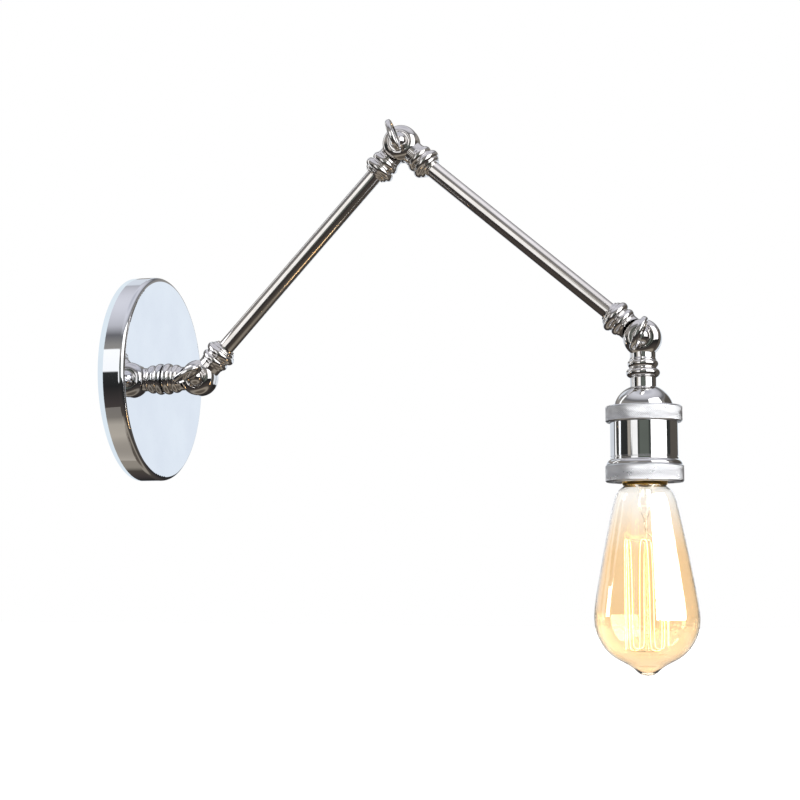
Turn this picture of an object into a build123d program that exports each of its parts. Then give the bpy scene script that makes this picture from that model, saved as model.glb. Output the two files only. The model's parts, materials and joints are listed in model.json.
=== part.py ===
from build123d import *
import math
import os

# Swing arm wall sconce: a round canopy, two jointed arms and a bare lamp holder with its bulb.
# Millimetres. The wall is the plane x = 0, +X comes out of the wall and +Z is up.
# The arms lie in the plane y = 0, and every knuckle turns about an axis along Y.

# --- canopy and its fixing ---
CANOPY_RADIUS = 63.5
CANOPY_DEPTH = 16.0
CANOPY_WALL = 1.2
CANOPY_EDGE_RADIUS = 3.0
STRAP_LENGTH = 108.0
STRAP_WIDTH = 20.0
STRAP_THICKNESS = 2.0
SLOT_SPACING = 88.9
SLOT_LENGTH = 12.0
SLOT_WIDTH = 5.0
NIPPLE_RADIUS = 5.0
NIPPLE_BORE = 3.4
NIPPLE_REACH = 8.0
EARTH_SCREW_Z = 22.0

# --- arms ---
ARM_LENGTH = 191.0
ARM_1_RISE = 47.2
ARM_2_FALL = 40.9
TUBE_LENGTH = 152.4
TUBE_RADIUS = 5.0
TUBE_BORE = 4.0

# --- knuckles ---
DRUM_RADIUS = 11.0
DRUM_HALF = 8.0
DRUM_SHOULDER = 2.6
DRUM_CURVE = (9.85, 6.2)
DRUM_FACE_RADIUS = 6.9
SEAM = 0.6
COVE = 0.3
WASHER_RADIUS = 10.4
RECESS_RADIUS = 6.2
RECESS_DEPTH = 1.0
SHANK_RADIUS = 1.95
FIT = 0.05
CHAMBER_OUTER = 7.0
CHAMBER_INNER = 3.6
CHAMBER_DEPTH = 5.0
WIRE_BORE = 2.6
WIRE_RADIUS = 0.9
WIRE_OFFSET = 1.2
WAIST_RADIUS = 7.4
STEM_LENGTH = 22.5
SWIVEL_WASHER = 0.5
COLLAR_END = 25.5

# --- keys ---
PADDLE_LENGTH = 20.6
PADDLE_WIDTH = 15.0
PADDLE_THICKNESS = 3.4
PADDLE_CENTRE = 20.6
PADDLE_ROUNDING = 1.3
PADDLE_RIM = 2.0
DISH_DEPTH = 0.5
HUB_RADIUS = 5.4
HUB_REACH = 5.6
NUT_FLATS = 7.0
NUT_HEIGHT = 3.0
NUT_DOME_RADIUS = 2.95
KEY_ANGLES = {"base": 28.0, "elbow": 109.0, "head": 66.0}

# --- lamp holder, as distances down from the head pivot ---
NECK_END = 28.6
NECK_RADIUS = 7.5
SPIGOT_RADIUS = 4.9
DOME_RADIUS = 17.0
DOME_TOP_RADIUS = 8.0
DOME_WALL = 1.2
DOME_SKIRT = 5.5
UPPER_RING = (39.7, 49.0)
LOWER_RING = (73.7, 83.6)
UPPER_RING_RADIUS = 22.0
LOWER_RING_RADIUS = 22.4
RING_LIP = 1.2
RING_CHAMFER = 0.7
LOWER_RING_BORE = 17.4
THREAD_RADIUS = 18.9
SHELL_RADIUS = 19.4
SHELL_BORE = 18.0
SHELL_FOOT = [(68.7, 19.4), (68.9, 19.1), (69.3, 19.1), (69.5, 19.5), (70.6, 19.6),
              ((71.6, 20.95), (73.4, 21.7))]
INSULATOR_RADIUS = 17.0
INSULATOR_SPAN = (46.0, 78.5)
INSULATOR_FLOOR = 55.0
SOCKET_BORE = 14.6

# --- bulb ---
CAP_TOP = 62.0
CAP_END = 85.4
CAP_RADIUS = 13.15
CAP_SKIRT = 5.0
CAP_BUTTON_RADIUS = 9.4
THREAD_PITCH = 3.6
THREAD_DEPTH = 0.9
GLASS_WALL = 0.9
GLASS_NECK = (82.5, 11.9)
GLASS_OUTLINE = [(85.6, 11.9), (87.6, 14.4), (91.2, 16.75), (100.0, 19.2), (118.0, 23.0), (136.1, 26.4),
                 (150.5, 28.9), (160.5, 29.8), (168.0, 29.0), (174.6, 26.3), (180.2, 22.2), (184.4, 16.6),
                 (187.4, 11.0), (190.2, 7.1), (192.7, 3.8)]
GLASS_TIP = 193.5
STEM_TUBE_RADIUS = 4.1
STEM_WALL = 0.8
PRESS_START = 92.0
PRESS_END = 101.0
CAGE_TOP = 116.0
CAGE_BOTTOM = 179.0
CAGE_RADIUS = 12.8
CAGE_POSTS = 12
HOOK_WIDTH = 2.4
HOOK_BEND = 0.9
FILAMENT_RADIUS = 0.35
SPOKE_START = 1.1
WIRE_FINE = 0.25

# --- derived places ---
FACE_X = CANOPY_DEPTH
BASE_PIVOT = Vector(FACE_X + SWIVEL_WASHER + STEM_LENGTH, 0, 0)
RISE = math.radians(ARM_1_RISE)
FALL = math.radians(ARM_2_FALL)
ELBOW_PIVOT = BASE_PIVOT + Vector(math.cos(RISE), 0, math.sin(RISE)) * ARM_LENGTH
HEAD_PIVOT = ELBOW_PIVOT + Vector(math.cos(FALL), 0, -math.sin(FALL)) * ARM_LENGTH
TUBE_START = (ARM_LENGTH - TUBE_LENGTH) / 2
FRONT = -1
REAR = 1


def link_frame(pivot, angle):
    """Local X runs from the pivot along a link that rises at this angle in degrees."""
    return Pos(*pivot) * Rot(0, -angle, 0)


def outline(start, *steps):
    """A closed face: a step is a point to draw a line to, or a (middle, end) pair for an arc."""
    here = start
    edges = []
    for step in steps:
        if isinstance(step[0], tuple):
            edges.append(ThreePointArc(here, step[0], step[1]))
            here = step[1]
        else:
            edges.append(Line(here, step))
            here = step
    if here != start:
        edges.append(Line(here, start))
    return make_face(Curve() + edges)


def turned_x(start, *steps):
    """Turn an outline of (distance, radius) points about local X."""
    return revolve(outline(start, *steps), Axis.X, 360)


def turned_y(start, *steps):
    """Turn an outline of (radius, height) points about local Y."""
    return revolve(outline(start, *steps), Axis.Y, 360)


def rod_x(radius, x0, x1, y=0.0, z=0.0):
    return Pos((x0 + x1) / 2, y, z) * Rot(0, 90, 0) * Cylinder(radius, abs(x1 - x0))


def rod_y(radius, y0, y1):
    return Pos(0, (y0 + y1) / 2, 0) * Rot(90, 0, 0) * Cylinder(radius, abs(y1 - y0))


def tube_x(outer, inner, x0, x1):
    return rod_x(outer, x0, x1) - rod_x(inner, x0 - 1, x1 + 1)


def rod_between(start, end, radius):
    """A straight round rod from one point to another."""
    middle = (start + end) / 2
    plane = Plane(origin=middle, z_dir=end - start)
    return plane * Cylinder(radius, (end - start).length)


def hexagon_x(across_flats, x0, x1):
    face = RegularPolygon(across_flats / 2, 6, major_radius=False)
    return Pos(x0, 0, 0) * Rot(0, 90, 0) * extrude(face, x1 - x0)


def wires_x(x0, x1):
    """Live, neutral and earth, side by side along local X."""
    wires = []
    for turn in (90, 210, 330):
        y = WIRE_OFFSET * math.cos(math.radians(turn))
        z = WIRE_OFFSET * math.sin(math.radians(turn))
        wires.append(rod_x(WIRE_RADIUS, x0, x1, y, z))
    return wires


# --- canopy and fixing ---

def backplate():
    edge = CANOPY_EDGE_RADIUS
    corner = edge * math.sin(math.radians(45))
    inner_edge = edge - CANOPY_WALL
    inner_corner = inner_edge * math.sin(math.radians(45))
    hub = NIPPLE_RADIUS + 0.3
    rim = CANOPY_RADIUS - CANOPY_WALL
    outer_mid = (FACE_X - edge + corner, CANOPY_RADIUS - edge + corner)
    inner_mid = (FACE_X - edge + inner_corner, CANOPY_RADIUS - edge + inner_corner)
    return turned_x((0, rim), (0, CANOPY_RADIUS), (FACE_X - edge, CANOPY_RADIUS),
                    (outer_mid, (FACE_X, CANOPY_RADIUS - edge)), (FACE_X, hub),
                    (FACE_X - CANOPY_WALL, hub), (FACE_X - CANOPY_WALL, CANOPY_RADIUS - edge),
                    (inner_mid, (FACE_X - edge, rim)))


def mounting_crossbar():
    blank = extrude(RectangleRounded(STRAP_WIDTH, STRAP_LENGTH, 4.0), STRAP_THICKNESS)
    slot = Rot(0, 0, 90) * extrude(SlotOverall(SLOT_LENGTH, SLOT_WIDTH), STRAP_THICKNESS)
    for side in (-1, 1):
        blank -= Pos(0, side * SLOT_SPACING / 2, 0) * slot
    strap = Plane.YZ * blank
    strap -= rod_x(NIPPLE_RADIUS, -1, STRAP_THICKNESS + 1)
    strap -= rod_x(SHANK_RADIUS + FIT, -1, STRAP_THICKNESS + 1, z=EARTH_SCREW_Z)
    strap -= rod_x(SHANK_RADIUS + FIT, -1, STRAP_THICKNESS + 1, z=-EARTH_SCREW_Z)
    return strap


def mounting_nipple():
    return tube_x(NIPPLE_RADIUS, NIPPLE_BORE, 0, FACE_X + NIPPLE_REACH)


def crossbar_lock_nut():
    top = STRAP_THICKNESS + 3.0
    return hexagon_x(14.0, STRAP_THICKNESS, top) - rod_x(NIPPLE_RADIUS, STRAP_THICKNESS - 1, top + 1)


def earth_screw():
    head = STRAP_THICKNESS + 2.4
    screw = rod_x(SHANK_RADIUS, 0, STRAP_THICKNESS) + rod_x(3.6, STRAP_THICKNESS, head)
    slot = Pos(head, 0, 0) * Box(2.0, 9.0, 1.0)
    return Pos(0, 0, EARTH_SCREW_Z) * (screw - slot)


def swivel_washer():
    return tube_x(8.0, NIPPLE_RADIUS + 0.2, FACE_X, FACE_X + SWIVEL_WASHER)


# --- knuckle castings: the pivot is the local origin, the link leaves along local +X ---

COLLAR = [(11.6, WAIST_RADIUS), (12.6, 7.8), (13.0, 7.8), ((15.1, 8.9), (17.2, 7.8)), (17.8, 8.0),
          ((20.35, 9.8), (22.9, 8.0))]


def casting(neck, side):
    """One turned neck joined to half a drum. The far half of the drum's space is left free."""
    clear = DRUM_RADIUS + COVE
    face = side * SEAM / 2
    lip = DRUM_HALF - 0.6
    curve_radius, curve_height = DRUM_CURVE
    body = turned_x((0, 0), (0, WAIST_RADIUS), *neck)
    body -= rod_y(clear, face, -side * 20)
    drum = turned_y((0, face), (DRUM_RADIUS, face), (DRUM_RADIUS, side * DRUM_SHOULDER),
                    ((curve_radius, side * curve_height), (DRUM_FACE_RADIUS, side * DRUM_HALF)),
                    (DRUM_FACE_RADIUS - 0.2, side * DRUM_HALF), (RECESS_RADIUS, side * lip), (0, side * lip))
    body += drum
    body -= rod_y(SHANK_RADIUS + FIT, face - side, side * 12)
    floor = DRUM_HALF - RECESS_DEPTH
    body -= rod_y(RECESS_RADIUS, side * floor, side * 12)
    chamber = turned_y((CHAMBER_INNER, face - side), (CHAMBER_OUTER, face - side),
                       (CHAMBER_OUTER, side * CHAMBER_DEPTH), (CHAMBER_INNER, side * CHAMBER_DEPTH))
    return body - chamber


def arm_knuckle(side):
    neck = COLLAR + [(23.2, 7.8), ((24.2, 7.35), (24.7, 6.5)), (COLLAR_END, 6.3), (COLLAR_END, 0)]
    body = casting(neck, side)
    body -= rod_x(WIRE_BORE, CHAMBER_INNER + 1, COLLAR_END)
    return body - rod_x(TUBE_RADIUS, TUBE_START, COLLAR_END + 1)


def stem_knuckle():
    depth = NIPPLE_REACH - SWIVEL_WASHER
    cut = rod_x(30, STEM_LENGTH, STEM_LENGTH + 20)
    body = casting(COLLAR + [(23.0, 0)], REAR) - cut
    body -= rod_x(WIRE_BORE, CHAMBER_INNER + 1, STEM_LENGTH)
    return body - rod_x(NIPPLE_RADIUS + FIT, STEM_LENGTH - depth - 0.2, STEM_LENGTH + 1)


def head_casting():
    neck = COLLAR + [(23.3, NECK_RADIUS), (NECK_END, NECK_RADIUS), (NECK_END, SPIGOT_RADIUS),
                     (NECK_END + 6.0, SPIGOT_RADIUS), (NECK_END + 6.0, 0)]
    return casting(neck, FRONT) - rod_x(WIRE_BORE, CHAMBER_INNER + 1, NECK_END + 7)


def friction_washer():
    return rod_y(WASHER_RADIUS, -SEAM / 2, SEAM / 2) - rod_y(CHAMBER_OUTER + 0.3, -SEAM, SEAM)


def cap_nut():
    """A domed hexagon nut seated in the recess of the rear half."""
    seat = DRUM_HALF - RECESS_DEPTH
    flats = RegularPolygon(NUT_FLATS / 2, 6, major_radius=False)
    hexagon = Pos(0, seat, 0) * Rot(-90, 0, 0) * extrude(flats, NUT_HEIGHT)
    dome = Pos(0, seat + NUT_HEIGHT, 0) * Sphere(NUT_DOME_RADIUS)
    return hexagon + dome - rod_y(SHANK_RADIUS + FIT, seat - 1, seat + NUT_HEIGHT + 1.2)


def key(angle):
    """A thumb screw: shank, round hub and a dished oval paddle that stands on the pivot axis."""
    seat = DRUM_HALF - RECESS_DEPTH + FIT
    body = rod_y(SHANK_RADIUS, -seat, DRUM_HALF - RECESS_DEPTH + 3.8)
    hub = turned_y((0, -seat), (HUB_RADIUS, -seat), (HUB_RADIUS, -seat - 0.9),
                   ((4.7, -seat - 3.4), (2.2, -seat - HUB_REACH)), (0, -seat - HUB_REACH))
    half = PADDLE_THICKNESS / 2
    blade = extrude(Ellipse(PADDLE_LENGTH / 2, PADDLE_WIDTH / 2), half, both=True)
    blade = fillet(blade.edges(), PADDLE_ROUNDING)
    dish = extrude(Ellipse(PADDLE_LENGTH / 2 - PADDLE_RIM, PADDLE_WIDTH / 2 - PADDLE_RIM), DISH_DEPTH * 2)
    for side in (-1, 1):
        blade -= Pos(0, 0, side * half - DISH_DEPTH) * dish
    blade = Pos(0, -PADDLE_CENTRE, 0) * blade
    return Rot(0, -angle, 0) * (body + hub + blade)


# --- lamp holder: local +X runs down from the head pivot ---

def dome_cap():
    top = NECK_END
    rim = UPPER_RING[0]
    hole = SPIGOT_RADIUS + FIT
    skirt = rim + DOME_SKIRT
    inside = DOME_RADIUS - DOME_WALL
    floor = top + DOME_WALL
    return turned_x((top, hole), (top, DOME_TOP_RADIUS), ((32.1, 13.1), (rim, DOME_RADIUS)),
                    (skirt, DOME_RADIUS), (skirt, inside), (rim, inside),
                    ((32.9, 12.1), (floor, DOME_TOP_RADIUS - 0.4)), (floor, hole))


def dome_lock_nut():
    top = NECK_END + DOME_WALL
    return hexagon_x(13.0, top, top + 3.0) - rod_x(SPIGOT_RADIUS, top - 1, top + 4)


def upper_ring():
    start, end = UPPER_RING
    r = UPPER_RING_RADIUS
    lip = start + RING_LIP
    bore = THREAD_RADIUS + FIT
    chamfer = RING_CHAMFER
    return turned_x((start, DOME_RADIUS + 0.1), (start, r - chamfer), (start + chamfer, r),
                    (end - chamfer, r), (end, r - chamfer), (end, bore), (lip, bore),
                    (lip, DOME_RADIUS + 0.1))


def lower_ring():
    start, end = LOWER_RING
    r = LOWER_RING_RADIUS
    lip = end - RING_LIP
    bore = THREAD_RADIUS + FIT
    chamfer = RING_CHAMFER
    return turned_x((start, bore), (start, r - chamfer), (start + chamfer, r), (end - chamfer, r),
                    (end, r - chamfer), (end, LOWER_RING_BORE), (lip, LOWER_RING_BORE), (lip, bore))


def socket_shell():
    top = UPPER_RING[0] + RING_LIP + 0.2
    shoulder = UPPER_RING[1] + 0.1
    foot = LOWER_RING[0] - 0.1
    end = LOWER_RING[1] - RING_LIP - 0.2
    return turned_x((top, THREAD_RADIUS), (shoulder, THREAD_RADIUS), (shoulder, SHELL_RADIUS), *SHELL_FOOT,
                    (foot, 21.4), (foot, THREAD_RADIUS), (end, THREAD_RADIUS), (end, SHELL_BORE),
                    (top, SHELL_BORE))


def socket_insulator():
    top, end = INSULATOR_SPAN
    body = turned_x((top, 0), (top, INSULATOR_RADIUS), (end, INSULATOR_RADIUS), (end, SOCKET_BORE),
                    (INSULATOR_FLOOR, SOCKET_BORE), (INSULATOR_FLOOR, 0))
    body -= rod_x(1.6, top - 1, INSULATOR_FLOOR + 1)
    for side in (-1, 1):
        body -= rod_x(1.6, top - 1, top + 6.0, y=side * 9.0)
        body -= rod_x(1.4, top - 1, top + 6.0, z=side * 7.0)
    return body


def socket_screw_shell():
    start = INSULATOR_FLOOR + 4.0
    end = INSULATOR_SPAN[1] - 0.8
    return turned_x((start, 10.0), (start, SOCKET_BORE), (end, SOCKET_BORE), (end, 14.0),
                    (start + 0.5, 14.0), (start + 0.5, 10.0))


def socket_centre_contact():
    """A bent spring tongue, riveted through the floor, that reaches up to the bulb."""
    floor = INSULATOR_FLOOR
    strip = outline((floor, -6), (floor + 0.4, -6), (floor + 0.4, 2.6), (floor + 2.3, -1.5),
                    (floor + 2.3, -4.5), (floor + 2.7, -4.5), (floor + 2.7, -1.3), (floor + 0.4, 3.6),
                    (floor, 3.6))
    tongue = extrude(strip, 2.5, both=True)
    return tongue + rod_x(1.5, floor - 8.0, floor + 0.2)


def socket_terminal_screws():
    """Two brass screws that clamp the wires on the insulator's top face."""
    screws = []
    for side in (-1, 1):
        screw = rod_x(1.5, INSULATOR_SPAN[0], INSULATOR_SPAN[0] + 5.5, y=side * 9.0)
        head = rod_x(2.9, INSULATOR_SPAN[0] - 1.8, INSULATOR_SPAN[0], y=side * 9.0)
        slot = Pos(INSULATOR_SPAN[0] - 1.8, side * 9.0, 0) * Box(1.2, 7.0, 0.8)
        screws.append(screw + head - slot)
    return screws


def socket_wires():
    """Two wires from the neck, out past the lock nut and into the insulator's wire holes."""
    wires = []
    for side in (-1, 1):
        path = FilletPolyline((12.0, 0, side * 1.2), (37.0, 0, side * 1.2), (41.5, 0, side * 7.0),
                              (50.0, 0, side * 7.0), radius=[3.0, 3.0])
        section = Plane(origin=(12.0, 0, side * 1.2), z_dir=(1, 0, 0)) * Circle(WIRE_RADIUS)
        wires.append(sweep(section, path))
    return wires


# --- bulb, in the same frame as the lamp holder ---

def bulb_cap():
    steps = []
    crest = CAP_RADIUS
    root = CAP_RADIUS - THREAD_DEPTH
    middle = root + THREAD_DEPTH / 2
    turn = CAP_TOP + 1.6
    while turn < CAP_END - CAP_SKIRT - THREAD_PITCH / 2:
        steps += [((turn + THREAD_PITCH / 4, crest), (turn + THREAD_PITCH / 2, middle)),
                  ((turn + THREAD_PITCH * 3 / 4, root), (turn + THREAD_PITCH, middle))]
        turn += THREAD_PITCH
    bore = root - 0.5
    skirt = CAP_END - CAP_SKIRT
    skirt_bore = bore + 0.55
    button = CAP_BUTTON_RADIUS
    return turned_x((CAP_TOP, button + 1.2), (CAP_TOP + 1.6, middle), *steps, (skirt, crest - 0.1),
                    (CAP_END - 2.0, crest - 0.1), ((CAP_END - 0.6, crest - 0.4), (CAP_END, skirt_bore + 0.1)),
                    (CAP_END, skirt_bore), (skirt, skirt_bore), (skirt - 1.0, bore),
                    (CAP_TOP + 2.0, bore - 0.5), (CAP_TOP + 0.6, button + 0.6), (CAP_TOP + 0.6, button),
                    (CAP_TOP, button))


def bulb_insulator():
    rim = CAP_BUTTON_RADIUS - FIT
    return turned_x((CAP_TOP - 3.0, 0), (CAP_TOP - 3.0, 5.2), ((CAP_TOP - 1.9, 8.0), (CAP_TOP, rim)),
                    (CAP_TOP + 0.6, rim), (CAP_TOP + 0.6, 0))


def bulb_contact():
    return turned_x((CAP_TOP - 4.0, 0), (CAP_TOP - 4.0, 2.0), ((CAP_TOP - 3.7, 3.2), (CAP_TOP - 3.0, 4.2)),
                    (CAP_TOP - 3.0, 0))


def glass_curve(points, tip):
    return Spline(*points, (tip, 0), tangents=[(1, 0.7), (0, -1)], tangent_scalars=[1, 0.5])


def bulb_glass():
    """A teardrop of thin glass, closed at its tip and open at the neck inside the cap."""
    inside = []
    for s, r in GLASS_OUTLINE[:-1]:
        inside.append((s, r - GLASS_WALL))
    s, r = GLASS_OUTLINE[-1]
    inside.append((s - GLASS_WALL, r - GLASS_WALL / 2))
    inner_tip = GLASS_TIP - GLASS_WALL
    inner_neck = (GLASS_NECK[0], GLASS_NECK[1] - GLASS_WALL)
    edges = [Line(GLASS_NECK, GLASS_OUTLINE[0]), glass_curve(GLASS_OUTLINE, GLASS_TIP),
             Line((GLASS_TIP, 0), (inner_tip, 0)), glass_curve(inside, inner_tip),
             Line(inside[0], inner_neck), Line(inner_neck, GLASS_NECK)]
    return revolve(make_face(Curve() + edges), Axis.X, 360)


def bulb_stem():
    """The hollow flared glass mount, its solid press and the rod that carries the cage."""
    top = GLASS_NECK[0]
    rim = GLASS_NECK[1] - GLASS_WALL
    tube = STEM_TUBE_RADIUS
    flare = turned_x((top, rim - 0.9), (top, rim), (top + 0.8, rim), ((top + 2.0, 6.4), (top + 5.5, tube)),
                     (PRESS_END - 4.0, tube), ((PRESS_END - 1.0, tube - 0.5), (PRESS_END, tube - 1.7)),
                     (PRESS_END, 0), (PRESS_START, 0), (PRESS_START, tube - STEM_WALL),
                     (top + 5.5, tube - STEM_WALL), ((top + 1.4, 5.9), (top, rim - 0.9)))
    rod = rod_x(SPOKE_START, PRESS_END - 0.5, CAGE_BOTTOM + 0.5)
    return flare + rod


def cage_point(post, shift=0.0, radius=CAGE_RADIUS):
    """A point of the cage: even posts are at the top, odd ones at the bottom."""
    turn = math.tau * post / CAGE_POSTS + shift / CAGE_RADIUS
    s = CAGE_BOTTOM if post % 2 else CAGE_TOP
    return Vector(s, math.cos(turn) * radius, math.sin(turn) * radius)


def bulb_filament_supports():
    """Fine radial wires set in the rod, one under each bend of the filament."""
    spokes = []
    for post in range(CAGE_POSTS - 1):
        inner = cage_point(post, radius=SPOKE_START)
        spokes.append(rod_between(inner, cage_point(post, radius=CAGE_RADIUS - 0.5), WIRE_FINE))
    return spokes


def bulb_filament():
    """A squirrel cage: one wire that runs up and down between the two rows of supports."""
    half = HOOK_WIDTH / 2
    last = CAGE_POSTS - 2
    points = [cage_point(0, half)]
    for post in range(1, last):
        points += [cage_point(post, -half), cage_point(post, half)]
    points.append(cage_point(last, -half))
    path = FilletPolyline(*points, radius=[HOOK_BEND] * (len(points) - 2))
    section = Plane(origin=path @ 0, z_dir=path % 0) * Circle(FILAMENT_RADIUS)
    return sweep(section, path)


def bulb_lead_wires():
    """Two wires from the press to the first and last posts of the filament."""
    wires = []
    for post, side, shift in ((0, 1, HOOK_WIDTH / 2), (CAGE_POSTS - 2, -1, -HOOK_WIDTH / 2)):
        start = Vector(PRESS_END - 1.0, side * 1.8, 0)
        bend = cage_point(post, radius=4.0) - Vector(3.0, 0, 0)
        end = cage_point(post, shift) - Vector(FILAMENT_RADIUS, 0, 0)
        path = FilletPolyline(start, bend, end, radius=[1.5])
        section = Plane(origin=start, z_dir=path % 0) * Circle(WIRE_FINE)
        wires.append(sweep(section, path))
    return wires


# --- place every piece ---

STEM_FRAME = link_frame(BASE_PIVOT, 180)
ARM_1_LOW = link_frame(BASE_PIVOT, ARM_1_RISE)
ARM_1_HIGH = link_frame(ELBOW_PIVOT, ARM_1_RISE + 180)
ARM_2_HIGH = link_frame(ELBOW_PIVOT, -ARM_2_FALL)
ARM_2_LOW = link_frame(HEAD_PIVOT, 180 - ARM_2_FALL)
HEAD_FRAME = link_frame(HEAD_PIVOT, -90)
PIVOTS = {"base": BASE_PIVOT, "elbow": ELBOW_PIVOT, "head": HEAD_PIVOT}

NODES = {
    "backplate": backplate(),
    "mounting_crossbar": mounting_crossbar(),
    "mounting_nipple": mounting_nipple(),
    "crossbar_lock_nut": crossbar_lock_nut(),
    "earth_screw": earth_screw(),
    "swivel_washer": swivel_washer(),
    "base_knuckle": STEM_FRAME * stem_knuckle(),
    "base_wires": wires_x(1.0, BASE_PIVOT.X - 11.0),
    "arm_1_lower_knuckle": ARM_1_LOW * arm_knuckle(FRONT),
    "arm_1_tube": ARM_1_LOW * tube_x(TUBE_RADIUS, TUBE_BORE, TUBE_START, TUBE_START + TUBE_LENGTH),
    "arm_1_upper_knuckle": ARM_1_HIGH * arm_knuckle(REAR),
    "arm_1_wires": [ARM_1_LOW * wire for wire in wires_x(11.0, ARM_LENGTH - 11.0)],
    "arm_2_upper_knuckle": ARM_2_HIGH * arm_knuckle(FRONT),
    "arm_2_tube": ARM_2_HIGH * tube_x(TUBE_RADIUS, TUBE_BORE, TUBE_START, TUBE_START + TUBE_LENGTH),
    "arm_2_lower_knuckle": ARM_2_LOW * arm_knuckle(REAR),
    "arm_2_wires": [ARM_2_HIGH * wire for wire in wires_x(11.0, ARM_LENGTH - 11.0)],
}
for name, pivot in PIVOTS.items():
    NODES[name + "_friction_washer"] = Pos(*pivot) * friction_washer()
    NODES[name + "_cap_nut"] = Pos(*pivot) * cap_nut()
    NODES[name + "_key"] = Pos(*pivot) * key(KEY_ANGLES[name])

HEAD_PIECES = {
    "head_knuckle": head_casting,
    "dome_cap": dome_cap,
    "dome_lock_nut": dome_lock_nut,
    "upper_ring": upper_ring,
    "lower_ring": lower_ring,
    "socket_shell": socket_shell,
    "socket_insulator": socket_insulator,
    "socket_screw_shell": socket_screw_shell,
    "socket_centre_contact": socket_centre_contact,
    "socket_terminal_screws": socket_terminal_screws,
    "socket_wires": socket_wires,
    "bulb_cap": bulb_cap,
    "bulb_insulator": bulb_insulator,
    "bulb_contact": bulb_contact,
    "bulb_glass": bulb_glass,
    "bulb_stem": bulb_stem,
    "bulb_filament_supports": bulb_filament_supports,
    "bulb_filament": bulb_filament,
    "bulb_lead_wires": bulb_lead_wires,
}
for name, make in HEAD_PIECES.items():
    made = make()
    if isinstance(made, list):
        NODES[name] = [HEAD_FRAME * piece for piece in made]
    else:
        NODES[name] = HEAD_FRAME * made

os.makedirs("parts", exist_ok=True)
for name, made in NODES.items():
    shape = Compound(children=made) if isinstance(made, list) else made
    export_step(shape, "parts/" + name + ".step")

for name, pivot in PIVOTS.items():
    print(name, "pivot", round(pivot.X, 3), round(pivot.Y, 3), round(pivot.Z, 3))
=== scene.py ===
import json
import math

import bmesh
import bpy
from mathutils import Matrix, Vector


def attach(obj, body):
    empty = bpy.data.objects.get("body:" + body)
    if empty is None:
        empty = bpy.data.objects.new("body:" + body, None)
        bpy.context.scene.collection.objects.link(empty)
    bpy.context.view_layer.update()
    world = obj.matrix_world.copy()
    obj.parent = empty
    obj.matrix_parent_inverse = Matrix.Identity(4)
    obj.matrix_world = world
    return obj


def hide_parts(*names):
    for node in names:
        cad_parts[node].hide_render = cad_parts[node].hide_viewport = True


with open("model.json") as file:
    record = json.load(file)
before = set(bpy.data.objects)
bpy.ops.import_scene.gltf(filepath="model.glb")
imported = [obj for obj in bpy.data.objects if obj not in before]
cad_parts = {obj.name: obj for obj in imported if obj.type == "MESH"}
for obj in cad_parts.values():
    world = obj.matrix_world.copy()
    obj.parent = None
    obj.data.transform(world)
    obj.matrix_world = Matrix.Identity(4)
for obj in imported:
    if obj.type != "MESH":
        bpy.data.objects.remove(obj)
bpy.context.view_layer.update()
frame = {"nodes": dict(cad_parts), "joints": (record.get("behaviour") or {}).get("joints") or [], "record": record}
NODES = frame["nodes"]
PIVOTS = {j["name"]: Vector(j["pos_m"]) for j in frame["joints"] if "pos_m" in j}
BASE = PIVOTS["base_tilt"]
ELBOW = PIVOTS["elbow"]
HEAD = PIVOTS["head_tilt"]
MM = 0.001


# ---------------------------------------------------------------- materials

class Nodes:
    """A short way to build a node tree: each call makes a node and links its inputs."""

    def __init__(self, material):
        self.tree = material.node_tree

    def make(self, kind, inputs=None, **settings):
        node = self.tree.nodes.new("ShaderNode" + kind)
        for name, value in settings.items():
            setattr(node, name, value)
        for name, value in (inputs or {}).items():
            socket = node.inputs[name]
            if isinstance(value, bpy.types.NodeSocket):
                self.tree.links.new(value, socket)
            else:
                socket.default_value = value
        return node


def new_material(name):
    material = bpy.data.materials.new(name)
    material.use_nodes = True
    material.node_tree.nodes.clear()
    return material, Nodes(material)


def finish_material(material, tree, shader):
    tree.make("OutputMaterial", {"Surface": shader})
    return material


def noise(tree, scale, detail, rough=0.5):
    """How strong a noise is at each point of the piece: scale is in cells per metre."""
    where = tree.make("TexCoord").outputs["Object"]
    return tree.make("TexNoise", {"Vector": where, "Scale": scale, "Detail": detail,
                                  "Roughness": rough}).outputs["Fac"]


def ramp(tree, value, low, high, start=0.35, end=0.65):
    """One colour that turns into another as the value goes from start to end."""
    node = tree.make("ValToRGB", {"Fac": value})
    node.color_ramp.elements[0].position = start
    node.color_ramp.elements[0].color = low
    node.color_ramp.elements[1].position = end
    node.color_ramp.elements[1].color = high
    return node.outputs["Color"]


def span(tree, value, low, high, start=0.3, end=0.7):
    """The value's range from start to end, stretched to run from low to high."""
    node = tree.make("MapRange", {"Value": value, "From Min": start, "From Max": end, "To Min": low,
                                  "To Max": high})
    return node.outputs["Result"]


def rgb(r, g, b):
    return (r, g, b, 1.0)


def polished_metal(name, bright, dull, rough, smear=0.03, ripple=0.02, scale=180.0):
    """Plated metal: a faint drift of tint, a little haze in patches and the soft waves left by polishing."""
    material, tree = new_material(name)
    patches = noise(tree, scale, 4.0)
    waves = noise(tree, scale * 0.6, 2.0)
    fine = noise(tree, scale * 22, 2.0)
    height = tree.make("Math", {0: waves, 1: span(tree, fine, 0.0, 0.04)}, operation="ADD").outputs["Value"]
    bump = tree.make("Bump", {"Height": height, "Strength": ripple, "Distance": 0.0004}).outputs["Normal"]
    shader = tree.make("BsdfPrincipled", {
        "Base Color": ramp(tree, patches, dull, bright), "Metallic": 1.0,
        "Roughness": span(tree, patches, rough, rough + smear), "Normal": bump})
    return finish_material(material, tree, shader.outputs["BSDF"])


LINES_PER_METRE = 3500.0
LINE_STRETCH = 0.02


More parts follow.
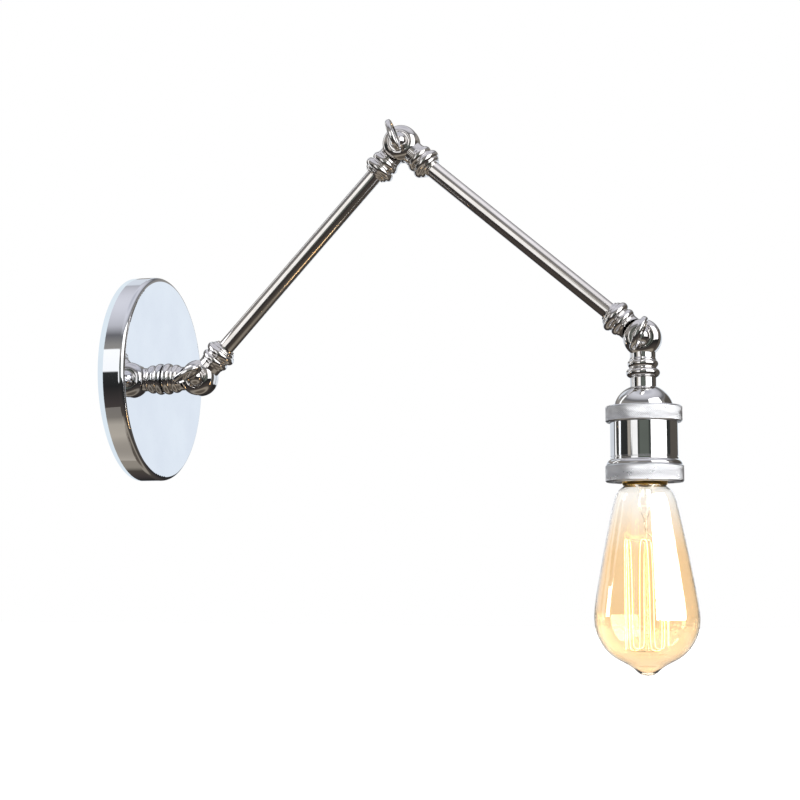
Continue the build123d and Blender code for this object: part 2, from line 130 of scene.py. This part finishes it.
def along_arms(tree):
    """Coordinates whose X runs along the tube of whichever arm the point is on."""
    where = tree.make("TexCoord").outputs["Object"]
    turned = []
    for start, end in ((BASE, ELBOW), (ELBOW, HEAD)):
        angle = math.atan2(end.z - start.z, end.x - start.x)
        turned.append(tree.make("Mapping", {"Vector": where, "Rotation": (0, angle, 0)}).outputs["Vector"])
    x = tree.make("SeparateXYZ", {"Vector": where}).outputs["X"]
    second = tree.make("Math", {0: x, 1: ELBOW.x}, operation="GREATER_THAN").outputs["Value"]
    return tree.make("MixRGB", {"Fac": second, "Color1": turned[0], "Color2": turned[1]}).outputs["Color"]


def satin_metal(name, bright, dull, rough, haze=0.1, follow_arms=False):
    """Drawn tube or rolled sheet: fine lines that run along one direction."""
    material, tree = new_material(name)
    where = along_arms(tree) if follow_arms else tree.make("TexCoord").outputs["Object"]
    drawn = tree.make("Mapping", {"Vector": where, "Scale": (LINE_STRETCH, 1.0, 1.0)}).outputs["Vector"]
    lines = tree.make("TexNoise", {"Vector": drawn, "Scale": LINES_PER_METRE, "Detail": 3.0,
                                   "Roughness": 0.6}).outputs["Fac"]
    patches = noise(tree, 120.0, 3.0)
    bump = tree.make("Bump", {"Height": lines, "Strength": 0.06, "Distance": 0.00003}).outputs["Normal"]
    shader = tree.make("BsdfPrincipled", {
        "Base Color": ramp(tree, patches, dull, bright), "Metallic": 1.0,
        "Roughness": span(tree, lines, rough, rough + haze), "Normal": bump})
    return finish_material(material, tree, shader.outputs["BSDF"])


def tube_metal(name, bright, dull, rough):
    """The arm tubes: drawn lines along each arm, with little haze."""
    return satin_metal(name, bright, dull, rough, 0.05, True)


def knurled_metal(name):
    """Matt nickel on the cut knurl: fine grit, a little brighter on its high grains."""
    material, tree = new_material(name)
    grit = noise(tree, 2600.0, 3.0, 0.6)
    patches = noise(tree, 160.0, 3.0)
    bump = tree.make("Bump", {"Height": grit, "Strength": 0.1, "Distance": 0.0001}).outputs["Normal"]
    shader = tree.make("BsdfPrincipled", {
        "Base Color": ramp(tree, grit, rgb(0.78, 0.79, 0.82), rgb(0.92, 0.93, 0.95), 0.3, 0.7),
        "Metallic": 1.0, "Roughness": span(tree, patches, 0.26, 0.36), "Normal": bump})
    return finish_material(material, tree, shader.outputs["BSDF"])


def moulded(name, light, dark, rough):
    """Plastic, fibre or insulation with a fine moulded skin."""
    material, tree = new_material(name)
    grain = noise(tree, 700.0, 4.0)
    bump = tree.make("Bump", {"Height": grain, "Strength": 0.1, "Distance": 0.0001}).outputs["Normal"]
    shader = tree.make("BsdfPrincipled", {
        "Base Color": ramp(tree, grain, dark, light), "Roughness": span(tree, grain, rough, rough + 0.12),
        "Normal": bump})
    return finish_material(material, tree, shader.outputs["BSDF"])


def along_head(tree, start, end):
    """0 at one distance below the head pivot, 1 at another, in millimetres."""
    where = tree.make("TexCoord").outputs["Object"]
    z = tree.make("SeparateXYZ", {"Vector": where}).outputs["Z"]
    return tree.make("MapRange", {"Value": z, "From Min": HEAD.z - start * MM, "From Max": HEAD.z - end * MM,
                                  "To Min": 0.0, "To Max": 1.0}).outputs["Result"]


TINT_SPAN = (90.0, 125.0)


def tinted_glass(name):
    """Thin blown glass: clear at the neck and amber lower down, with slow waves from the mould."""
    material, tree = new_material(name)
    fade = along_head(tree, *TINT_SPAN)
    drift = span(tree, noise(tree, 60.0, 2.0), -0.08, 0.08)
    mixed = tree.make("Math", {0: fade, 1: drift}, operation="ADD", use_clamp=True).outputs["Value"]
    tint = ramp(tree, mixed, rgb(0.985, 0.98, 0.965), rgb(0.975, 0.8, 0.58), 0.0, 1.0)
    waves = noise(tree, 45.0, 1.0)
    bump = tree.make("Bump", {"Height": waves, "Strength": 0.02, "Distance": 0.001}).outputs["Normal"]
    shader = tree.make("BsdfPrincipled", {
        "Base Color": tint, "Transmission Weight": 1.0, "Roughness": 0.0, "IOR": 1.3, "Coat Weight": 1.0,
        "Coat Roughness": 0.0, "Coat IOR": 1.5, "Normal": bump})
    return finish_material(material, tree, shader.outputs["BSDF"])


def clear_glass(name):
    """The drawn glass of the bulb's inner stem, with small ripples."""
    material, tree = new_material(name)
    waves = noise(tree, 300.0, 2.0)
    bump = tree.make("Bump", {"Height": waves, "Strength": 0.3, "Distance": 0.0005}).outputs["Normal"]
    shader = tree.make("BsdfPrincipled", {
        "Base Color": ramp(tree, waves, rgb(0.97, 0.96, 0.92), rgb(0.99, 0.99, 0.97)),
        "Transmission Weight": 1.0, "Roughness": 0.02, "IOR": 1.5, "Normal": bump})
    return finish_material(material, tree, shader.outputs["BSDF"])


def glowing(name):
    """A hot carbon thread, a little uneven along its length."""
    material, tree = new_material(name)
    uneven = noise(tree, 900.0, 3.0)
    glow = ramp(tree, uneven, rgb(1.0, 0.55, 0.12), rgb(1.0, 0.82, 0.36), 0.25, 0.7)
    shader = tree.make("BsdfPrincipled", {
        "Base Color": rgb(0.9, 0.6, 0.25), "Roughness": 0.4, "Emission Color": glow,
        "Emission Strength": 5.0})
    return finish_material(material, tree, shader.outputs["BSDF"])


LOOKS = {
    "chrome_plate": (polished_metal, rgb(0.93, 0.95, 0.98), rgb(0.88, 0.9, 0.94), 0.02, 0.02, 0.01, 40.0),
    "chrome_casting": (polished_metal, rgb(0.93, 0.91, 0.9), rgb(0.87, 0.85, 0.83), 0.02, 0.03, 0.012),
    "chrome_key": (polished_metal, rgb(0.93, 0.92, 0.92), rgb(0.87, 0.86, 0.85), 0.03, 0.04, 0.015),
    "chrome_shell": (polished_metal, rgb(0.9, 0.9, 0.9), rgb(0.85, 0.85, 0.85), 0.03, 0.03, 0.02, 60.0),
    "nickel_hardware": (polished_metal, rgb(0.8, 0.77, 0.72), rgb(0.7, 0.67, 0.62), 0.12, 0.08, 0.1),
    "knurled_metal": (knurled_metal,),
    "satin_tube": (tube_metal, rgb(0.88, 0.85, 0.83), rgb(0.8, 0.77, 0.74), 0.1),
    "zinc_steel": (satin_metal, rgb(0.66, 0.66, 0.62), rgb(0.52, 0.52, 0.5), 0.32),
    "spring_steel": (satin_metal, rgb(0.34, 0.34, 0.35), rgb(0.2, 0.2, 0.21), 0.3),
    "earth_green": (moulded, rgb(0.08, 0.4, 0.14), rgb(0.05, 0.3, 0.1), 0.3),
    "fibre": (moulded, rgb(0.05, 0.045, 0.04), rgb(0.02, 0.02, 0.02), 0.7),
    "wire_cover": (moulded, rgb(0.08, 0.08, 0.08), rgb(0.04, 0.04, 0.04), 0.45),
    "bakelite": (moulded, rgb(0.05, 0.045, 0.04), rgb(0.02, 0.018, 0.016), 0.25),
    "brass": (satin_metal, rgb(0.86, 0.64, 0.26), rgb(0.7, 0.48, 0.17), 0.22),
    "cap_brass": (polished_metal, rgb(0.97, 0.66, 0.2), rgb(0.86, 0.5, 0.12), 0.16, 0.1, 0.1, 400.0),
    "cap_glass": (moulded, rgb(0.03, 0.02, 0.03), rgb(0.01, 0.01, 0.01), 0.08),
    "solder": (polished_metal, rgb(0.7, 0.7, 0.68), rgb(0.55, 0.55, 0.54), 0.3, 0.1, 0.3, 900.0),
    "amber_glass": (tinted_glass,),
    "clear_glass": (clear_glass,),
    "support_wire": (satin_metal, rgb(0.6, 0.5, 0.42), rgb(0.42, 0.34, 0.28), 0.3),
    "filament": (glowing,),
}
MATERIALS = {slot: look[0](slot, *look[1:]) for slot, look in LOOKS.items()}


def wear(piece, slot):
    """Give a piece the material of a slot."""
    piece.data.materials.clear()
    piece.data.materials.append(MATERIALS[slot])


for entry in frame["record"]["subparts"]:
    wear(NODES[entry["node"]], entry["material_slot"])


# ---------------------------------------------------------------- finer pieces, in millimetres

def head_point(s, radius, turn):
    """The place s below the head's pivot and radius out from the head's axis."""
    return Vector((HEAD.x + radius * MM * math.cos(turn), radius * MM * math.sin(turn), HEAD.z - s * MM))


def add_piece(name, mesh, slot, body, *stands_for):
    """Put a mesh in the place of nodes of the frame, moving with their body."""
    piece = bpy.data.objects.new(name, mesh)
    bpy.context.scene.collection.objects.link(piece)
    wear(piece, slot)
    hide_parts(*stands_for)
    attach(piece, body)
    return piece


UPPER_TOP, UPPER_END = 39.7, 49.0
UPPER_RADIUS = 22.0
UPPER_OPENING = 17.1
LOWER_TOP, LOWER_END = 73.7, 83.6
LOWER_RADIUS = 22.4
LOWER_OPENING = 17.4
RING_BORE = 18.95
RING_LIP = 1.2


def groove(phase):
    """1 at the bottom of a V groove and 0 on the land between grooves."""
    away = abs(phase % 1.0 - 0.5) * 2
    return max(0.0, 1.0 - away * 2.0)


KNURL_TEETH = 110
KNURL_DEPTH = 0.22
KNURL_ROW = 0.3
KNURL_CHAMFER = 0.7
STEPS_PER_TOOTH = 6


def knurled_ring(node, span_mm, radius, inner):
    """A ring with a crossed knurl cut into its band; inner lists its other points as (distance, radius)."""
    start, end = span_mm
    band_start = start + KNURL_CHAMFER
    band = end - KNURL_CHAMFER - band_start
    rows = round(band / KNURL_ROW)
    profile = [(start, radius - KNURL_CHAMFER, False)]
    profile += [(band_start + band * k / rows, radius, 0 < k < rows) for k in range(rows + 1)]
    profile += [(end, radius - KNURL_CHAMFER, False)] + [(s, r, False) for s, r in inner]
    columns = KNURL_TEETH * STEPS_PER_TOOTH
    pitch = 2 * math.pi * radius / KNURL_TEETH
    mesh = bmesh.new()
    rings = []
    for s, r, cut in profile:
        ring = []
        for j in range(columns):
            turn = j * KNURL_TEETH / columns
            depth = max(groove(turn + s / pitch), groove(turn - s / pitch)) * KNURL_DEPTH if cut else 0.0
            ring.append(mesh.verts.new(head_point(s, r - depth, 2 * math.pi * j / columns)))
        rings.append(ring)
    for here, there in zip(rings, rings[1:] + rings[:1]):
        for j in range(columns):
            k = (j + 1) % columns
            mesh.faces.new((here[j], there[j], there[k], here[k]))
    bmesh.ops.recalc_face_normals(mesh, faces=mesh.faces)
    data = bpy.data.meshes.new(node + "_knurled")
    mesh.to_mesh(data)
    mesh.free()
    return add_piece(node + "_knurled", data, "knurled_metal", node, node)


def wire(name, paths, radius):
    """Round wires along smooth paths, as one mesh."""
    curve = bpy.data.curves.new(name, "CURVE")
    curve.dimensions = "3D"
    curve.bevel_depth = radius * MM
    curve.bevel_resolution = 2
    curve.use_fill_caps = True
    for path in paths:
        spline = curve.splines.new("NURBS")
        spline.points.add(len(path) - 1)
        for point, place in zip(spline.points, path):
            point.co = (*place, 1.0)
        spline.order_u = 3
        spline.use_endpoint_u = True
        spline.resolution_u = 4
    holder = bpy.data.objects.new(name, curve)
    bpy.context.scene.collection.objects.link(holder)
    mesh = bpy.data.meshes.new_from_object(holder.evaluated_get(bpy.context.evaluated_depsgraph_get()))
    bpy.data.objects.remove(holder)
    for face in mesh.polygons:
        face.use_smooth = True
    return mesh


CAGE_TOP = 116.4
CAGE_BOTTOM = 178.6
CAGE_RADIUS = 12.4
CROWN_DROP = 3.0
BELLY_DROP = 30.0
BELLY_PROUD = 0.1
LOOP_RISE = 2.0
HAIRPINS = 6
HAIRPIN_TURN = math.radians(360 / HAIRPINS)
FIRST_HAIRPIN = math.radians(30)
HAIRPIN_HALF = 0.17
BELLY_HALF = HAIRPIN_HALF * 1.35
LOOP_HALF = BELLY_HALF + 0.12
CROWN_HALF = HAIRPIN_HALF * 0.4
STRAND_RADIUS = 0.26
HOOK_RADIUS = 0.16
LEAD_RADIUS = 0.2
LEAD_TOP = 98.0
TWIST_TOP = 105.5
TWIST_STEP = 1.6
TWIST_TURN = 0.9
TWIST_POINTS = 5


def cage_point(s, turn, proud=0.0):
    """A place on the filament's cage, or proud of it."""
    return head_point(s, CAGE_RADIUS + proud, turn)


def filament_paths():
    """Six tall hairpins round the cage, joined in turn by short loops at the bottom."""
    path = []
    for k in range(HAIRPINS):
        middle = FIRST_HAIRPIN + k * HAIRPIN_TURN
        path += [cage_point(CAGE_BOTTOM - LOOP_RISE, middle - BELLY_HALF),
                 cage_point(CAGE_TOP + BELLY_DROP, middle - BELLY_HALF, BELLY_PROUD),
                 cage_point(CAGE_TOP + CROWN_DROP, middle - HAIRPIN_HALF),
                 cage_point(CAGE_TOP, middle - HAIRPIN_HALF + CROWN_HALF),
                 cage_point(CAGE_TOP, middle + HAIRPIN_HALF - CROWN_HALF),
                 cage_point(CAGE_TOP + CROWN_DROP, middle + HAIRPIN_HALF),
                 cage_point(CAGE_TOP + BELLY_DROP, middle + BELLY_HALF, BELLY_PROUD),
                 cage_point(CAGE_BOTTOM - LOOP_RISE, middle + BELLY_HALF)]
        if k < HAIRPINS - 1:
            path += [cage_point(CAGE_BOTTOM, middle + LOOP_HALF),
                     cage_point(CAGE_BOTTOM, middle + HAIRPIN_TURN - LOOP_HALF)]
    return [path]


def support_paths():
    """Spokes from the centre rod with an eye at each bend of the filament."""
    reach = CAGE_RADIUS - 0.1
    paths = []
    for k in range(HAIRPINS):
        crown = FIRST_HAIRPIN + k * HAIRPIN_TURN
        bends = [(CAGE_TOP, crown)]
        if k < HAIRPINS - 1:
            bends.append((CAGE_BOTTOM, crown + HAIRPIN_TURN / 2))
        for s, turn in bends:
            paths.append([head_point(s + 1.2, 0.9, turn), head_point(s + 0.9, reach * 0.6, turn),
                          head_point(s + 0.35, reach, turn), head_point(s + 0.35, reach + 0.35, turn),
                          head_point(s - 0.4, reach + 0.35, turn), head_point(s - 0.4, reach - 0.3, turn)])
    return paths


def lead_paths():
    """Two leads that twist once round each other below the press and run to the cage's two ends."""
    first_end = FIRST_HAIRPIN - BELLY_HALF
    last_end = FIRST_HAIRPIN + (HAIRPINS - 1) * HAIRPIN_TURN + BELLY_HALF
    paths = []
    for side, turn in ((0, first_end), (math.pi, last_end)):
        path = [head_point(LEAD_TOP, 2.2, side), head_point(LEAD_TOP + 3.5, 2.3, side),
                head_point(LEAD_TOP + 6.0, 1.5, side + TWIST_TURN)]
        path += [head_point(TWIST_TOP + k * TWIST_STEP, 0.55 + 0.1 * k, side + 1.6 + k * TWIST_TURN)
                 for k in range(TWIST_POINTS)]
        path += [head_point(CAGE_TOP - 1.0, 4.0, turn), head_point(CAGE_TOP + 1.5, 9.0, turn),
                 head_point(CAGE_TOP + 4.0, CAGE_RADIUS - 0.3, turn)]
        paths.append(path)
    return paths


upper_knurl = knurled_ring("upper_ring", (UPPER_TOP, UPPER_END), UPPER_RADIUS, (
    (UPPER_END, RING_BORE), (UPPER_TOP + RING_LIP, RING_BORE),
    (UPPER_TOP + RING_LIP, UPPER_OPENING), (UPPER_TOP, UPPER_OPENING)))
lower_knurl = knurled_ring("lower_ring", (LOWER_TOP, LOWER_END), LOWER_RADIUS, (
    (LOWER_END, LOWER_OPENING), (LOWER_END - RING_LIP, LOWER_OPENING),
    (LOWER_END - RING_LIP, RING_BORE), (LOWER_TOP, RING_BORE)))
add_piece("bulb_cage", wire("bulb_cage", filament_paths(), STRAND_RADIUS), "filament", "bulb",
          "bulb_filament")
add_piece("bulb_hooks", wire("bulb_hooks", support_paths(), HOOK_RADIUS), "support_wire", "bulb",
          "bulb_filament_supports")
add_piece("bulb_leads", wire("bulb_leads", lead_paths(), LEAD_RADIUS), "support_wire", "bulb",
          "bulb_lead_wires")


# ---------------------------------------------------------------- camera

CAMERA_AZIMUTH = 14.4
CAMERA_ELEVATION = -6.08
CAMERA_DISTANCE = 0.95
CAMERA_TARGET = Vector((0.1678, 0.0, -0.0171))
CAMERA_LENS = 71.1146
CAMERA_SENSOR = 36.0


def direction(azimuth, elevation):
    """From the object towards a place; azimuth 0 is along -Y and 90 along +X."""
    a, e = math.radians(azimuth), math.radians(elevation)
    return Vector((math.sin(a) * math.cos(e), -math.cos(a) * math.cos(e), math.sin(e)))


CAMERA_PLACE = CAMERA_TARGET + direction(CAMERA_AZIMUTH, CAMERA_ELEVATION) * CAMERA_DISTANCE


def make_camera():
    """The camera stands on the side of the keys, a little below, and looks slightly up."""
    data = bpy.data.cameras.new("camera")
    data.sensor_width = CAMERA_SENSOR
    data.lens = CAMERA_LENS
    camera = bpy.data.objects.new("camera", data)
    bpy.context.scene.collection.objects.link(camera)
    camera.location = CAMERA_PLACE
    camera.rotation_mode = "QUATERNION"
    camera.rotation_quaternion = (CAMERA_TARGET - CAMERA_PLACE).to_track_quat("-Z", "Y")
    data.clip_start, data.clip_end = 0.01, 50.0
    bpy.context.scene.camera = camera


make_camera()


# ---------------------------------------------------------------- studio

FLOOR_CENTRE = Vector((0.17, 0.0, -0.45))
FLOOR_SIDE = 16.0


def floor_material():
    """Pale paper that shines a little, so that it stays even."""
    material, tree = new_material("floor")
    tint = ramp(tree, noise(tree, 30.0, 2.0), rgb(0.784, 0.784, 0.784), rgb(0.8, 0.8, 0.8))
    shader = tree.make("BsdfPrincipled", {"Base Color": tint, "Roughness": 0.9, "Emission Color": tint,
                                          "Emission Strength": 0.75})
    return finish_material(material, tree, shader.outputs["BSDF"])


def lit_card_material(name, colour, edge):
    """A card that shines evenly and fades out over a border, with edge as the border's share.

    A ray that has passed through the glass goes through the card too.
    """
    material, tree = new_material(name)
    where = tree.make("TexCoord").outputs["Generated"]
    part = tree.make("SeparateXYZ", {"Vector": where})
    fade = None
    for axis in ("X", "Y"):
        off = tree.make("Math", {0: part.outputs[axis], 1: 0.5}, operation="SUBTRACT").outputs["Value"]
        far = tree.make("Math", {0: off}, operation="ABSOLUTE").outputs["Value"]
        near = tree.make("MapRange", {"Value": far, "From Min": 0.5 - edge, "From Max": 0.5, "To Min": 1.0,
                                      "To Max": 0.0}).outputs["Result"]
        if fade is None:
            fade = near
        else:
            fade = tree.make("Math", {0: fade, 1: near}, operation="MULTIPLY").outputs["Value"]
    through = tree.make("LightPath").outputs["Is Transmission Ray"]
    solid = tree.make("Math", {0: 1.0, 1: through}, operation="SUBTRACT").outputs["Value"]
    fade = tree.make("Math", {0: fade, 1: solid}, operation="MULTIPLY").outputs["Value"]
    clear = tree.make("BsdfTransparent")
    shine = tree.make("Emission", {"Color": rgb(*colour), "Strength": 1.0})
    mix = tree.make("MixShader", {"Fac": fade, 1: clear.outputs["BSDF"], 2: shine.outputs["Emission"]})
    return finish_material(material, tree, mix.outputs["Shader"])


def panel(name, centre, look_at, width, height):
    """A flat sheet that faces a point."""
    mesh = bpy.data.meshes.new(name)
    w, h = width / 2, height / 2
    mesh.from_pydata([(-w, -h, 0), (w, -h, 0), (w, h, 0), (-w, h, 0)], [], [(0, 1, 2, 3)])
    piece = bpy.data.objects.new(name, mesh)
    bpy.context.scene.collection.objects.link(piece)
    piece.location = centre
    piece.rotation_mode = "QUATERNION"
    piece.rotation_quaternion = (look_at - centre).to_track_quat("Z", "Y")
    return piece


def hide_from_view(piece):
    """The piece is only seen in reflections."""
    piece.visible_camera = False
    piece.visible_transmission = False
    piece.visible_diffuse = False
    piece.visible_shadow = False


def softbox(name, centre, look_at, width, height, radiance, tint=(1, 1, 1)):
    """An area light that faces a point."""
    data = bpy.data.lights.new(name, "AREA")
    data.shape = "RECTANGLE"
    data.size, data.size_y = width, height
    data.energy = radiance * math.pi * width * height
    data.color = tint
    light = bpy.data.objects.new(name, data)
    bpy.context.scene.collection.objects.link(light)
    light.location = Vector(centre)
    light.rotation_mode = "QUATERNION"
    light.rotation_quaternion = (Vector(centre) - Vector(look_at)).to_track_quat("Z", "Y")
    light.visible_camera = False
    light.visible_transmission = False
    return light


STRIPE_DISTANCE = 1.3
STRIPE_LENGTH = 2.2


def stripe_light(name, start, end, low, high, radiance):
    """A long softbox where a tube mirrors it as a stripe, between two angles up round the tube."""
    middle = (start + end) / 2
    along = (end - start).normalized()
    look = (middle - CAMERA_PLACE).normalized()
    facing = (along * look.dot(along) - look).normalized()
    upward = along.cross(facing)
    upward = upward if upward.z > 0 else -upward

    def mirrored(angle):
        a = math.radians(angle)
        normal = facing * math.cos(a) + upward * math.sin(a)
        return look - normal * (2 * look.dot(normal))

    way = mirrored((low + high) / 2)
    spread = mirrored(low).angle(mirrored(high)) / 2
    centre = middle + way * STRIPE_DISTANCE
    light = softbox(name, centre, middle, STRIPE_LENGTH, 2 * STRIPE_DISTANCE * math.tan(spread), radiance)
    side = (along - way * along.dot(way)).normalized()
    light.rotation_quaternion = Matrix((side, way.cross(side), way)).transposed().to_quaternion()
    return light


def only_for(name, lights, pieces):
    """These lights reach only the given pieces."""
    lit = bpy.data.collections.new(name)
    for piece in pieces:
        lit.objects.link(piece)
    for light in lights:
        light.light_linking.receiver_collection = lit


def card(name, centre, look_at, width, height, colour, edge=0.06):
    """A bright or dark card that only the metal's reflections show."""
    piece = panel(name, Vector(centre), Vector(look_at), width, height)
    piece.data.materials.append(lit_card_material(name, colour, edge))
    hide_from_view(piece)
    return piece


DISC_EDGE = 0.001
DISC_STEPS = 96


def round_card(name, centre, radius, colour):
    """A bright disc in the plane of the wall."""
    x, y, z = centre
    turns = [2 * math.pi * k / DISC_STEPS for k in range(DISC_STEPS)]
    ring = [(x, y + radius * math.cos(turn), z + radius * math.sin(turn)) for turn in turns]
    mesh = bpy.data.meshes.new(name)
    mesh.from_pydata(ring, [], [tuple(range(DISC_STEPS))])
    piece = bpy.data.objects.new(name, mesh)
    bpy.context.scene.collection.objects.link(piece)
    piece.data.materials.append(lit_card_material(name, colour, DISC_EDGE))
    hide_from_view(piece)
    return piece


def make_floor():
    """A wide pale floor far below the lamp, which hangs on a wall."""
    floor = panel("floor", FLOOR_CENTRE, FLOOR_CENTRE + Vector((0, 0, 1)), FLOOR_SIDE, FLOOR_SIDE)
    floor.data.materials.append(floor_material())
    floor.visible_glossy = False


# The room's colour at each height, in degrees above the horizon.
ROOM = (
    (-90, (0.1, 0.085, 0.07)), (-70, (0.12, 0.1, 0.08)), (-60, (0.3, 0.265, 0.22)),
    (-50, (0.27, 0.24, 0.2)), (-43, (0.07, 0.06, 0.05)), (-28, (0.05, 0.042, 0.04)),
    (-12, (0.02, 0.02, 0.02)), (8, (0.03, 0.033, 0.033)), (20, (0.3, 0.28, 0.26)),
    (30, (0.26, 0.25, 0.24)), (40, (0.14, 0.14, 0.15)), (50, (0.5, 0.5, 0.54)),
    (66, (0.68, 0.68, 0.74)), (90, (0.5, 0.51, 0.57)))


def make_world():
    """The metal mirrors a dim room with a pale ceiling, and the eye sees plain white behind the object."""
    world = bpy.data.worlds.new("studio")
    world.use_nodes = True
    tree = Nodes(world)
    tree.tree.nodes.clear()
    z = tree.make("SeparateXYZ", {"Vector": tree.make("TexCoord").outputs["Generated"]}).outputs["Z"]
    lift = tree.make("MapRange", {"Value": z, "From Min": -1.0, "From Max": 1.0}).outputs["Result"]
    room = tree.make("ValToRGB", {"Fac": lift})
    stops = room.color_ramp.elements
    while len(stops) < len(ROOM):
        stops.new(0.5)
    for stop, (elevation, colour) in zip(stops, ROOM):
        stop.position = (math.sin(math.radians(elevation)) + 1) / 2
        stop.color = rgb(*colour)
    dim = tree.make("Background", {"Color": room.outputs["Color"], "Strength": 1.0})
    plain = tree.make("Background", {"Color": rgb(1.0, 1.0, 1.0), "Strength": 1.0})
    path = tree.make("LightPath")
    through = tree.make("Math", {0: 1.0, 1: path.outputs["Is Transmission Ray"]}, operation="SUBTRACT")
    seen = tree.make("Math", {0: path.outputs["Is Glossy Ray"], 1: through.outputs["Value"]},
                     operation="MULTIPLY").outputs["Value"]
    mix = tree.make("MixShader", {"Fac": seen, 1: plain.outputs["Background"], 2: dim.outputs["Background"]})
    tree.make("OutputWorld", {"Surface": mix.outputs["Shader"]})
    bpy.context.scene.world = world


def light_glass():
    """The bulb mirrors its own window and edge strip, on both faces of its wall, and pale surroundings."""
    window = softbox("glass_window", (1.237, -0.442, 0.39), (0.365, 0.086, 0.39), 1.55, 1.2, 14.0)
    strip = softbox("glass_strip", (-0.867, -0.02, 0.575), (0.313, 0.0, 0.575), 0.21, 1.45, 12.0)
    warm = (1.0, 0.9, 0.78)
    surroundings = (
        softbox("glass_back_left", (-0.75, 0.95, 0.0), (0.313, 0.0, 0.0), 1.8, 2.0, 0.3, warm),
        softbox("glass_back_right", (1.35, 0.95, 0.0), (0.313, 0.0, 0.0), 1.8, 2.0, 0.3, warm),
        softbox("glass_below", (0.313, 0.0, -0.44), (0.313, 0.0, 0.0), 3.0, 3.0, 0.25))
    for lamp in (window, strip):
        lamp.visible_transmission = True
    only_for("lit_glass", (window, strip) + surroundings, (NODES["bulb_glass"], NODES["bulb_stem"]))


def light_metal():
    """One window for all the metal, a fill for the rings and the rim, and a stripe along each arm."""
    softbox("window_right", (1.175, -0.545, 0.55), (0.328, -0.013, 0.55), 1.145, 1.2, 1.7)
    ring_fill = softbox("ring_fill", (1.15, -0.75, 0.1), (0.313, 0.0, -0.04), 1.2, 1.3, 2.2)
    rim_glow = softbox("rim_glow", (-0.2, -0.165, -0.43), (0.008, 0.0, 0.0), 0.5, 0.44, 0.14,
                       (1.0, 0.93, 0.83))
    only_for("lit_rings", (ring_fill,), (upper_knurl, lower_knurl))
    only_for("lit_rim", (rim_glow,), (NODES["backplate"],))
    arm_1_stripe = stripe_light("arm_1_stripe", BASE, ELBOW, 11, 33, 0.95)
    arm_2_stripe = stripe_light("arm_2_stripe", ELBOW, HEAD, -16, 7, 0.95)
    arm_2_upper = stripe_light("arm_2_upper", ELBOW, HEAD, 28, 50, 0.35)
    only_for("lit_arm_1", (arm_1_stripe,), (NODES["arm_1_tube"],))
    only_for("lit_arm_2", (arm_2_stripe, arm_2_upper), (NODES["arm_2_tube"],))


def hang_cards():
    """Cards in front of the object, beside it and behind it, and the pale wall round the canopy."""
    card("strip_left", (-0.85, 0.3, 0.5), (0.33, 0.0, 0.5), 0.25, 1.6, (1.3, 1.3, 1.3))
    card("front_left", (-0.18, -1.0, 0.16), (-0.18, 0.0, 0.16), 0.44, 0.68, (1.05, 1.05, 1.05))
    card("front_far_left", (-0.455, -1.0, 0.28), (-0.455, 0.0, 0.28), 0.13, 0.5, (1.05, 1.05, 1.05))
    card("front_beige", (-0.75, -1.0, 0.05), (-0.75, 0.0, 0.05), 0.42, 0.4, (0.4, 0.37, 0.33))
    card("front_dim", (0.43, -1.1, 0.08), (0.43, 0.0, 0.08), 0.84, 0.55, (0.12, 0.135, 0.12), 0.2)
    card("right_dim", (0.76, 0.37, 0.0), (0.33, 0.0, 0.0), 0.66, 0.8, (0.095, 0.085, 0.075), 0.1)
    card("behind_face", (0.32, 0.75, 0.08), (0.016, 0.0, 0.0), 0.5, 0.5, (0.8, 0.86, 0.93))
    card("behind_left", (-0.28, 0.72, 0.03), (0.2, 0.0, 0.0), 1.05, 0.34, (0.7, 0.74, 0.8), 0.15)
    card("behind_high", (-0.45, 0.85, 0.75), (0.0, 0.0, 0.0), 0.5, 0.6, (0.7, 0.74, 0.8), 0.15)
    round_card("wall_paper", (-0.0005, -0.0068, 0.0), 0.0647, (0.78, 0.86, 0.91))


make_floor()
make_world()
light_metal()
light_glass()
hang_cards()
bpy.context.scene.view_settings.view_transform = "Standard"
